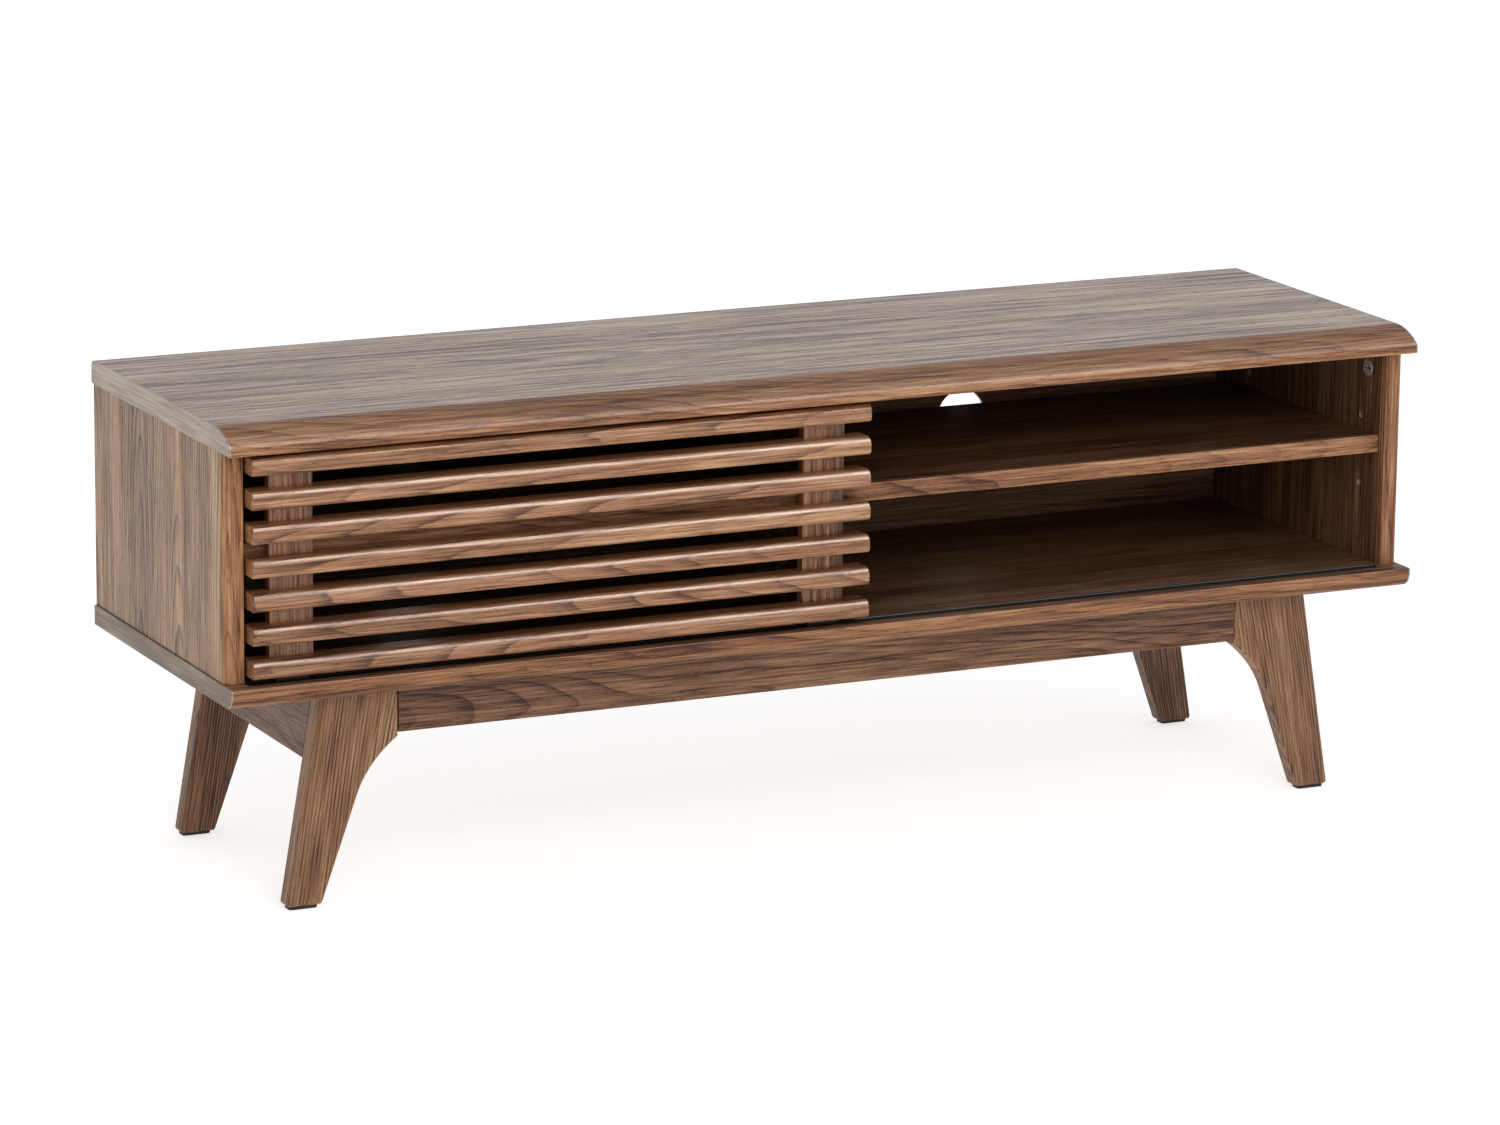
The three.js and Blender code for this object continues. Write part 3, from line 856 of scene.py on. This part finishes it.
divider = plank("divider_board", "centre_divider", "Z", walnut_case, 0.4 * MM, 0.25 * MM)
divider_face = box_of("centre_divider")[1][0]
divider_drills = []
for side, sign in SIDES.items():
    pins = [f"{side}_shelf_pin_inner_{row}" for row in ROWS]
    divider_drills += pin_drills(divider_face * sign, -sign, pins)
cut(divider, *divider_drills)
timber(divider, "walnut_case", "centre_divider", "Z", "Y", depth=0.06)
print("faces of the divider with its holes:", len(divider.data.polygons))

# %% [markdown]
# ## Back
#
# The back is a thin veneered panel in the rebate, with a cable hole behind each compartment. It is
# held by small screws all round, and the holes have a plain eased rim. Larger screws come up through
# the bottom panel into the sides and the divider.

# %% Back panel
CABLE_HOLE = {"radius": 25 * MM, "x": 284.5 * MM, "z": 312.5 * MM}
back = plank("back_board", "back_panel", "Y", walnut_back, 0.4 * MM, 0.3 * MM)


def hole_saw(name, x):
    """A cutter through the back whose ends flare, so that both rims of the hole are eased."""
    thick = back_high[1] - back_low[1]
    r = CABLE_HOLE["radius"]
    flare = 0.5 * MM
    profile = [(-MM, r + MM + flare), (flare, r), (thick - flare, r), (thick + MM, r + MM + flare)]
    return turned(name, profile, (x, back_low[1], CABLE_HOLE["z"]), "Y", core, sides=64)


cut(back, *[hole_saw(f"hole_{side}", sign * CABLE_HOLE["x"]) for side, sign in SIDES.items()])
timber(back, "backing", "back_panel", "X", "Z", depth=0.05)
print("faces of the back:", len(back.data.polygons))

# %% [markdown]
# ## Screws
#
# A pan-head screw is a low dome with a cross cut into it for the driver. The dome is turned, and two
# crossed blocks are taken out of it. Screws that do one job are joined into one object.

# %% Screws in the back and under the bottom
def cross_arm(ends, k, long_way, arm, half):
    """A cutter between two points along the axis k, which reaches arm one way and half the other."""
    size = np.full(3, half)
    size[long_way] = arm
    size[k] = 0.0
    return tool_box("arm", np.min(ends, 0) - size, np.max(ends, 0) + size)


def screw(name, centre, axis, direction, radius, height):
    """A pan-head screw: a low dome whose height falls as a quarter ellipse towards its rim."""
    q = np.linspace(0, math.pi / 2, 7)
    dome = np.stack([height * np.sin(q), radius * np.maximum(np.cos(q), 0.02)], 1)
    profile = np.concatenate([[(-0.6 * MM, radius)], dome])
    head = turned(name, profile, centre, axis, steel, sides=24, direction=direction)
    arm, half = 0.55 * radius, 0.13 * radius
    k = AXIS[axis]
    sockets = []
    for long_way in [j for j in range(3) if j != k]:
        mouth = np.zeros(3)
        mouth[k] = direction
        ends = centre + mouth * height * 0.25, centre + mouth * height * 1.5
        sockets.append(cross_arm(ends, k, long_way, arm, half))
    return cut(head, *sockets)


def place_screws(name, places, axis, direction, radius, height):
    """The same screw at each place, joined into one piece."""
    centres = [np.array(place) for place in places]
    heads = [screw(f"{name}_{i}", c, axis, direction, radius, height) for i, c in enumerate(centres)]
    settle(joined(name, heads), "zinc")
    return len(heads)


edge_in = 9 * MM
face_y = back_high[1]
rows_z = back_low[2] + 0.4 * edge_in, back_high[2] - 0.4 * edge_in
rows_x = np.linspace(back_low[0] + edge_in, back_high[0] - edge_in, 7)
back_places = [(x, face_y, z) for x in rows_x for z in rows_z]
back_places += [(sign * (back_high[0] - 0.4 * edge_in), face_y, sum(rows_z) / 2) for sign in SIDES.values()]
in_back = place_screws("back_screws", back_places, "Y", 1, 2.6 * MM, 1.3 * MM)
low_x = -top_high[0] + 30 * MM, 0.0, top_high[0] - 30 * MM
low_places = [(x, y, base_low[2]) for x in low_x for y in (-90 * MM, 20 * MM, 120 * MM)]
in_bottom = place_screws("bottom_screws", low_places, "Z", -1, 4 * MM, 1.6 * MM)
print("screws:", in_back, "in the back and", in_bottom, "under the bottom")

# %% [markdown]
# ## Shelves and pins
#
# Each shelf is a veneered board whose front edge is banded in solid walnut, and it rests on four
# steel pins. A pin is turned with a collar, which stops it at the face of the board.

# %% Shelves and pins
SHELF_LIP = 6 * MM


def pin_profile(radius, length, collar):
    """A pin's profile: chamfered ends, and a collar one millimetre wide at the board's face."""
    flange = radius + 1.2 * MM
    return [
        (0, radius - 0.5 * MM), (0.5 * MM, radius), (collar, radius), (collar + 0.1 * MM, flange),
        (collar + MM, flange), (collar + 1.3 * MM, radius), (length - MM, radius),
        (length - 0.3 * MM, radius - 0.3 * MM), (length, radius - MM),
    ]


for side, sign in SIDES.items():
    node = f"{side}_shelf"
    low, high = box_of(node)
    lip_y = low[1] + SHELF_LIP
    section = rectangle(lip_y + HAIR, high[1], low[2], high[2], 0.3 * MM)
    board = bar(f"{node}_board", section, "X", low[0], high[0], walnut_case, ease=0.3 * MM)
    timber(board, "walnut_case", node, "X", "Y", depth=0.05)
    corners = [(low[1], low[2]), (lip_y - HAIR, low[2]), (lip_y - HAIR, high[2]), (low[1], high[2])]
    section = rounded(corners, [0.9 * MM, 0.3 * MM, 0.3 * MM, 0.9 * MM])
    strip = bar(f"{node}_lipping", section, "X", low[0], high[0], walnut_edge, ease=0.3 * MM)
    timber(strip, "walnut_case", node, "X", "Z", off_heart=0.02, depth=0.06, tone=-0.03)
    for wall, direction in (("outer", -sign), ("inner", sign)):
        for row in ROWS:
            node = f"{side}_shelf_pin_{wall}_{row}"
            low, high = box_of(node)
            centre = (low[0] if direction > 0 else high[0], *middle(node)[1:])
            profile = pin_profile((high[2] - low[2]) / 2, high[0] - low[0], pin_hole["depth"])
            pin = turned(f"{node}_turned", profile, centre, "X", steel, sides=28, direction=direction)
            settle(pin, "zinc", node)

# %% [markdown]
# ## Cams
#
# The zinc cams draw the side panels up to the top. Only their faces show: a chamfered disc with a
# cross-shaped recess for a driver, cut in the same way as a screw's.

# %% Cams
for side, sign in SIDES.items():
    for row in ROWS:
        node = f"{side}_cam_lock_{row}"
        low, high = box_of(node)
        radius, depth = (high[2] - low[2]) / 2, high[0] - low[0]
        centre = np.array([sign * inner_x, *middle(node)[1:]])
        rim = [(0, radius - MM), (0.15 * MM, radius - 0.35 * MM), (0.6 * MM, radius), (depth, radius)]
        cam = turned(f"{node}_cast", rim, centre, "X", zinc, sides=48, direction=sign)
        ends = centre - [sign * MM, 0, 0], centre + [sign * 1.6 * MM, 0, 0]
        arms = [cross_arm(ends, 0, long_way, 4.6 * MM, MM) for long_way in (1, 2)]
        settle(cut(cam, *arms), "zinc", node)
print("cam radius:", round(radius / MM, 1), "mm, depth:", round(depth / MM, 1), "mm")

# %% [markdown]
# ## Tracks
#
# The door runs in two dark channels, let in flush with the floor and the roof of the case. A channel
# is extruded plastic: its lips and its slot have small rounds, and the front lip shows as a fine
# light line.

# %% Tracks
def channel(name, node, face, up):
    """A track's section: a block with a slot open to the face; up is the way from face to slot floor."""
    low, high = box_of(node)
    half_slot, slot_depth = 4.5 * MM, 6 * MM
    y0, y1 = middle(node)[1] - half_slot, middle(node)[1] + half_slot
    bed, outside = face + up * slot_depth, face + up * (high[2] - low[2])
    corners = [
        (low[1], face), (y0, face), (y0, bed), (y1, bed),
        (y1, face), (high[1], face), (high[1], outside), (low[1], outside),
    ]
    section = rounded(corners, np.array([0.5, 0.8, 0.4, 0.4, 0.8, 0.5, 0.3, 0.3]) * MM, 4)
    piece = bar(name, section, "X", low[0], high[0], track_plastic, ease=0.3 * MM, steps=2)
    settle(piece, "dark_plastic", node)


channel("bottom_track_channel", "bottom_track", floor, -1)
channel("top_track_channel", "top_track", roof, 1)
print("tracks:", round(track_high[0] - track_low[0], 3), "m long")

# %% [markdown]
# ## The sliding door
#
# Seven slats are half-lapped onto two stiles. A slat's long front edges are rounded and lacquered,
# and that round gives the bright line along each of them. The laps are cut out of the slats' backs,
# and their walls are bare walnut, so that cutter gets the slats' own material.

# %% Door slats
slats = [f"door_slat_{i}" for i in range(1, 8)]
lap_front = box_of("door_left_stile")[0][1] - FIT
stile_x = [(box_of(f"door_{side}_stile")[0][0], box_of(f"door_{side}_stile")[1][0]) for side in SIDES]
# The lowest slat is darker: painted shade low on the door; the other values are the slats' own tones.
slat_tones = [-0.04, 0.03, -0.05, 0.0, -0.03, -0.02, -0.1]


def lap(x0, x1, low, high):
    """The cutter for one lap, between x0 and x1, in the back of the slat from low to high."""
    tool = tool_box("lap", (x0 - FIT, lap_front, low[2] - MM), (x1 + FIT, high[1] + MM, high[2] + MM))
    tool.data.materials[0] = walnut_slat
    return tool


for node, tone in zip(slats, slat_tones):
    low, high = box_of(node)
    section = rounded(
        [(low[1], low[2]), (high[1], low[2]), (high[1], high[2]), (low[1], high[2])],
        [4.5 * MM, 1.5 * MM, 1.5 * MM, 7 * MM],
        steps=10,
    )
    slat = bar(f"{node}_bar", section, "X", low[0], high[0], walnut_slat, ease=1.4 * MM, steps=4)
    cut(slat, *[lap(x0, x1, low, high) for x0, x1 in stile_x])
    heart, depth = luck.uniform(-0.01, 0.03), luck.uniform(0.02, 0.06)
    timber(slat, "walnut_door", node, "X", "Z", body="door", off_heart=heart, depth=depth, tone=tone)
print("slats:", len(slats), "| laps in each:", len(stile_x))

# %% [markdown]
# ## Stiles and guides
#
# Each stile is glued up from two strips of different wood, which shows between the slats. At both of
# its ends sits a plastic guide: a plate screwed to the stile, and a fin with a rounded tip that runs
# in the track.

# %% Door stiles and guides
STRIP_SHARE = 0.67
HALF_PLATE = 6 * MM
HALF_FIN = 3.25 * MM
RUNNING_GAP = 1.4 * MM
for side in SIDES:
    node = f"door_{side}_stile"
    low, high = box_of(node)
    glue_x = low[0] + STRIP_SHARE * (high[0] - low[0])
    lift = {"left": 0.05, "right": 0.0}[side]
    strips = {"wide": (low[0], glue_x - 0.03 * MM, -0.2), "narrow": (glue_x + 0.03 * MM, high[0], -0.34)}
    for label, (x0, x1, tone) in strips.items():
        plan = rectangle(x0, x1, low[1], high[1], 0.4 * MM)
        strip = bar(f"{node}_{label}_strip", plan, "Z", low[2], high[2], walnut_slat, ease=0.4 * MM)
        log = {"off_heart": 0.05, "depth": 0.05, "tone": tone + lift}
        timber(strip, "walnut_door", node, "Z", "X", body="door", **log)
    for level in ("bottom", "top"):
        guide = f"door_{side}_{level}_guide"
        low_g, high_g = box_of(guide)
        y = middle(guide)[1]
        if level == "bottom":
            tip, root, space = low_g[2], high_g[2], low[2] - floor
        else:
            tip, root, space = high_g[2], low_g[2], roof - high[2]
        step = root + math.copysign(space - RUNNING_GAP, tip - root)
        corners = [
            (y - HALF_PLATE, root), (y + HALF_PLATE, root), (y + HALF_PLATE, step), (y + HALF_FIN, step),
            (y + HALF_FIN, tip), (y - HALF_FIN, tip), (y - HALF_FIN, step), (y - HALF_PLATE, step),
        ]
        section = rounded(corners, np.array([0.5, 0.5, 0.5, 0.3, 1.2, 1.2, 0.3, 0.5]) * MM, 4)
        shoe = bar(f"{guide}_shoe", section, "X", low_g[0], high_g[0], track_plastic, ease=0.5 * MM)
        settle(shoe, "dark_plastic", guide, body="door")
print("a stile's strips:", list(strips), "| a guide's fin:", round(abs(tip - step) / MM, 1), "mm")

# %% [markdown]
# ## Base frame
#
# The legs are sawn from thick boards. A leg's outer edge splays outwards down to the foot, and its
# inner edge runs straight up and then sweeps in to the apron, in a wing that is glued on as a second
# piece. Front edges are rounded by hand. The side aprons lean with the legs.

# %% Legs
LEG = {"foot_inner": 485.5 * MM, "lean": 0.345, "top_in": 31.5 * MM}
LEG_CURVE = {"from_z": 97 * MM, "pull": (442.5 * MM, 124.6 * MM), "to_z": 146 * MM}
WING = {"top_x": 426 * MM, "lean": 0.2}
FRONT_EASE = (2.6 * MM, 1.2 * MM)
FOOT_ROUND = 2.7 * MM


def inner_curve(apron_x, steps=12):
    """The leg's inner edge from the bend to the apron: a quadratic curve pulled to one point."""
    start = np.array([LEG["foot_inner"] - LEG["lean"] * LEG_CURVE["from_z"], LEG_CURVE["from_z"]])
    pull, end = np.array(LEG_CURVE["pull"]), np.array([apron_x, LEG_CURVE["to_z"]])
    t = np.linspace(0, 1, steps + 1)[:, None]
    return (1 - t) ** 2 * start + 2 * t * (1 - t) * pull + t**2 * end


def wing_line(z, top_z):
    """The glue line between leg and wing leans out downwards from the apron."""
    return WING["top_x"] + WING["lean"] * (top_z - z)


leg_low, leg_high = box_of("front_right_leg")
apron_x = leg_low[0]
leg_top, foot = leg_high[2], leg_low[2]
curve = inner_curve(apron_x)
top_outer = leg_high[0] - LEG["top_in"]
meet = int(np.argmin(np.abs(curve[:, 0] - wing_line(curve[:, 1], leg_top))))
wing_x = WING["top_x"]
leg_corners = [
    (leg_high[0], foot), (top_outer, leg_top), (wing_x, leg_top), (apron_x, leg_top),
    *curve[::-1], (LEG["foot_inner"], foot),
]
lean_vector = np.array([top_outer - leg_high[0], 0, leg_top - foot])
lean_vector /= np.linalg.norm(lean_vector)


def half_leg(name, y0, y1, sign, ease, side):
    """One of the leg's two pieces: side is 1 outside the glue line and -1 inside it.

    The glue line runs straight from the top to the curve's point that lies nearest to it, and a
    point stays if it is on its own side of that line.
    """
    radii = [FOOT_ROUND] + [0.0] * (len(curve) + 3) + [FOOT_ROUND]
    outline = rounded(np.array(leg_corners) * [sign, 1], radii)

    def keep(points):
        share = (leg_top - points[:, 1]) / (leg_top - curve[meet, 1])
        line = wing_x + (curve[meet, 0] - wing_x) * share
        return (np.abs(points[:, 0]) - line) * side > -1e-6

    return bar(name, outline, "Y", y0, y1, walnut_frame, ease=ease, steps=4, keep=keep)


for row in ROWS:
    for side, sign in SIDES.items():
        node = f"{row}_{side}_leg"
        low, high = box_of(node)
        ease = FRONT_EASE if row == "front" else FRONT_EASE[::-1]
        # The back legs are darker: painted shade under the cabinet. The wing's lift is its lighter wood.
        shade = 0.02 if row == "front" else -0.2
        along = lean_vector * [sign, 1, 1]
        across = np.cross([0, 1, 0], along)
        board = half_leg(f"{node}_board", low[1], high[1], sign, ease, 1)
        timber(board, "walnut_frame", node, along, across, off_heart=0.09, depth=0.02, tone=shade)
        wing = half_leg(f"{node}_wing", low[1], high[1], sign, ease, -1)
        timber(wing, "walnut_frame", node, along, across, off_heart=0.06, depth=0.03, tone=shade + 0.2)
        glide = f"{row}_{side}_glide"
        pad = plank(f"{glide}_pad", glide, "Z", glide_plastic, 3 * MM, (0.8 * MM, 0.2 * MM))
        settle(pad, "glide_plastic", glide)
print("leg:", round(leg_top - foot, 3), "m high, glue line at x =", wing_x)

# %% [markdown]
# ## Aprons and corner blocks
#
# The front and back aprons are plain boards between the legs. A side apron leans as the legs do, so
# its section is a slanted strip with a level top. The corner blocks under the bottom panel tie the
# frame to it, with two screws in each.

# %% Aprons, corner blocks and their screws
APRON = {"thick": 15 * MM, "bottom_z": 131 * MM}
slope = LEG["top_in"] / (leg_top - foot)
lean = math.atan(slope)
for row in ROWS:
    node = f"{row}_apron"
    apron = plank(f"{node}_board", node, "X", walnut_apron, 0.9 * MM, 0.3 * MM)
    timber(apron, "walnut_frame", node, "X", "Z", off_heart=0.006, depth=0.05, tone=-0.02)

for side, sign in SIDES.items():
    node = f"{side}_apron"
    low, high = box_of(node)
    low_x = top_outer + slope * (high[2] - APRON["bottom_z"])
    back_x, back_z = APRON["thick"] * math.cos(lean), APRON["thick"] * math.sin(lean)
    corners = [
        (top_outer, high[2]), (low_x, APRON["bottom_z"]),
        (low_x - back_x, APRON["bottom_z"] - back_z), (top_outer - APRON["thick"] / math.cos(lean), high[2]),
    ]
    section = rounded(np.array(corners) * [sign, 1], [0.3 * MM, 1.2 * MM, 1.2 * MM, 0.3 * MM])
    apron = bar(f"{node}_board", section, "Y", low[1], high[1], walnut_apron, ease=0.3 * MM)
    # The side aprons' darker tone is painted shade under the bottom panel.
    timber(apron, "walnut_frame", node, "Y", "Z", off_heart=0.004, depth=0.045, tone=-0.1)
    for row in ROWS:
        node = f"{row}_{side}_corner_block"
        block = plank(f"{node}_board", node, "X", walnut_frame, 1.5 * MM, 1.2 * MM)
        timber(block, "walnut_frame", node, "X", "Y", depth=0.05, tone=0.05)
        x, y = middle(node)[:2]
        places = [(x + dx, y, box_of(node)[0][2]) for dx in (-30 * MM, 30 * MM)]
        place_screws(f"{row}_{side}_block_screws", places, "Z", -1, 4 * MM, 1.8 * MM)
print("side aprons lean by", round(math.degrees(lean), 1), "degrees")

# %% [markdown]
# ## Studio
#
# The cabinet stands on a plain pale floor under soft light. The world is bright at the horizon and
# dimmer overhead, as between white studio walls: it lights the fronts more than the top and puts a
# pale sheen on faces seen at a shallow angle. A long soft lamp above the front draws the bright line
# along each rounded slat.

# %% Floor and light
def world_light(horizon, overhead):
    """A world whose light falls off with height, from the horizon to the point overhead."""
    world = bpy.data.worlds.new("studio")
    bpy.context.scene.world = world
    world.use_nodes = True
    nodes, links = world.node_tree.nodes, world.node_tree.links
    place = nodes.new("ShaderNodeTexCoord")
    split = nodes.new("ShaderNodeSeparateXYZ")
    ramp = nodes.new("ShaderNodeValToRGB")
    Recipe.set_stops(ramp.color_ramp, [(0.0, horizon), (0.2, horizon), (0.7, overhead)])
    links.new(place.outputs["Generated"], split.inputs[0])
    links.new(split.outputs["Z"], ramp.inputs[0])
    links.new(ramp.outputs[0], nodes["Background"].inputs["Color"])


world_light((1.0, 1.0, 1.0), (0.3, 0.3, 0.3))


def pale_floor(radius=60.0):
    """A disc under the cabinet, far wider than any view of it."""
    recipe = Recipe("pale_floor", Roughness=0.9, Specular_IOR_Level=0.0, Emission_Strength=0.5)
    recipe.shader.inputs["Base Color"].default_value = (0.85, 0.85, 0.85, 1)
    recipe.shader.inputs["Emission Color"].default_value = (1, 1, 1, 1)
    angle = np.arange(96) * 2 * math.pi / 96
    points = np.stack([radius * np.cos(angle), radius * np.sin(angle), 0 * angle - 0.2 * MM], 1)
    make_mesh("floor", points, [list(range(96))], recipe.material)


def lamp(name, place, target, size, power, glossy):
    """A soft rectangular lamp that faces its target, seen in reflections only or never in them."""
    light = bpy.data.lights.new(name, "AREA")
    light.shape, light.size, light.size_y, light.energy = "RECTANGLE", *size, power
    fixture = bpy.data.objects.new(name, light)
    bpy.context.scene.collection.objects.link(fixture)
    fixture.location = place
    aim = np.array(target) - np.array(place)
    tilt = math.atan2(math.hypot(aim[0], aim[1]), -aim[2])
    fixture.rotation_euler = (tilt, 0, math.atan2(aim[0], -aim[1]) + math.pi)
    fixture.visible_diffuse = not glossy
    fixture.visible_glossy = glossy


pale_floor()
lamp("front softbox", (-0.6, -2.6, 1.9), (0, 0, 0.25), (2.2, 1.2), 18, glossy=False)
lamp("overhead strip", (0.5, -1.25, 2.3), (0.5, -1.25, 0), (3.4, 1.9), 170, glossy=True)

# %% [markdown]
# ## Camera
#
# A long lens from well back keeps the cabinet's edges nearly parallel, and it looks down a little
# from the left. The look has a touch more contrast than the plain one.

# %% Camera
CAMERA = {"place": (-2.4766, -5.132, 1.5757), "yaw": 25.64, "pitch": 13.27, "roll": 0.6, "lens": 155.1}
camera = bpy.data.objects.new("camera", bpy.data.cameras.new("camera"))
bpy.context.scene.collection.objects.link(camera)
bpy.context.scene.camera = camera
camera.data.sensor_width = 36
camera.data.lens = CAMERA["lens"]
camera.data.clip_end = 200
camera.location = CAMERA["place"]
yaw, down, roll = [math.radians(CAMERA[k]) for k in ("yaw", "pitch", "roll")]
pitch = math.pi / 2 - down
aim = Matrix.Rotation(-yaw, 3, "Z") @ Matrix.Rotation(pitch, 3, "X") @ Matrix.Rotation(roll, 3, "Z")
camera.rotation_euler = aim.to_euler()
bpy.context.scene.view_settings.view_transform = "Standard"
bpy.context.scene.view_settings.look = "Medium High Contrast"
print("camera distance:", round(camera.location.length, 2), "m")
